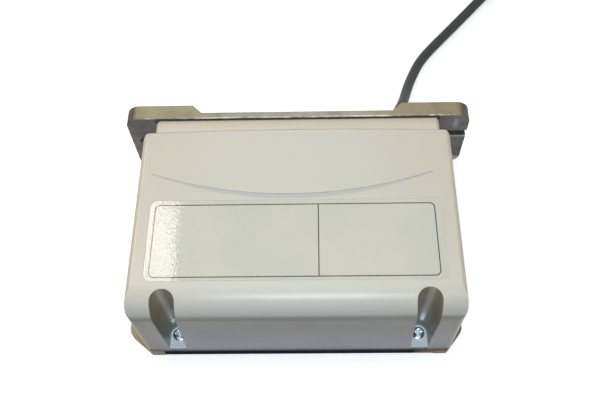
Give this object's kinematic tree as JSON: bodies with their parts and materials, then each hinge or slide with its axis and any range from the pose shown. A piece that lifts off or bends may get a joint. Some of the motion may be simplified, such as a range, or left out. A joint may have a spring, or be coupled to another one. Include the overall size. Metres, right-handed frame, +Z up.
{
  "type": "sewing machine treadle control box",
  "caption": "Speed control box for an industrial sewing machine: moulded cover on a cast base with an eared mounting plate, sprung treadle lever, speed sensor, drive board and mains lead.",
  "frame": {"origin": "middle of the footprint of box and mounting plate, on the surface that the box lies on", "axes": "+X to the right across the box, +Y from the near face to the mounting plate's table face, +Z up through the label face"},
  "size_m": [0.3555, 0.4936, 0.085],
  "materials": {
    "cover_plastic": "fine moulded texture",
    "rear_plastic": "fine moulded texture",
    "label_film": "thin satin film",
    "cast_base": "die cast, olive passivated",
    "cast_plate": "die cast, grainy, worn bright on its edges",
    "zinc_screw": "bright zinc",
    "plain_screw": "zinc",
    "inner_screw": "zinc",
    "case_plastic": "moulded",
    "bronze": "sintered bronze",
    "spring_wire": "drawn wire",
    "steel": "ground and plated",
    "dark_steel": "black oxide",
    "white_nylon": "moulded",
    "magnet_metal": "nickel plated",
    "board_green": "solder mask",
    "can_sleeve": "shrink sleeve",
    "epoxy_black": "moulded epoxy",
    "copper_winding": "enamelled copper",
    "relay_blue": "moulded",
    "fuse_glass": "glazed",
    "block_green": "moulded",
    "pin_metal": "tinned",
    "boot_rubber": "soft moulded",
    "lead_jacket": "extruded jacket",
    "tie_fabric": "hook and loop tape",
    "plug_black": "moulded"
  },
  "bodies": {
    "control_box": {"top_cover": "cover_plastic", "rear_cover": "rear_plastic", "label_panel": "label_film", "base_casting": "cast_base", "mounting_plate": "cast_plate", "cover_screws": "zinc_screw", "cover_washers": "zinc_screw", "plate_screws": "plain_screw", "rear_screws": "plain_screw", "sensor_case": "case_plastic", "sensor_lid": "case_plastic", "sensor_screws": "zinc_screw", "shaft_bush": "bronze", "return_spring": "spring_wire", "hall_board": "board_green", "main_board": "board_green", "board_screws": "inner_screw", "bus_capacitors": "can_sleeve", "power_module": "epoxy_black", "module_screws": "inner_screw", "line_choke": "copper_winding", "relays": "relay_blue", "fuse_holder": "white_nylon", "fuse": "fuse_glass", "terminal_block": "block_green", "motor_socket": "white_nylon", "motor_pins": "pin_metal", "head_socket": "white_nylon", "head_pins": "pin_metal", "earth_screw": "bronze", "lead_boot": "boot_rubber", "mains_lead": "lead_jacket", "lead_coil": "lead_jacket", "coil_tie": "tie_fabric", "plug_body": "plug_black", "plug_blades": "pin_metal"},
    "treadle": {"lever_shaft": "steel", "treadle_lever": "steel", "lever_set_screw": "dark_steel", "retaining_ring": "dark_steel", "magnet_carrier": "white_nylon", "sensor_magnet": "magnet_metal"}
  },
  "joints": [
    {"name": "treadle_swing", "type": "hinge", "parent": "control_box", "child": "treadle", "pos_m": [-0.1145, -0.025, 0.044], "axis": [-1, 0, 0], "range_deg": [-12, 20], "stiffness_Nm_per_rad": 0.6}
  ]
}
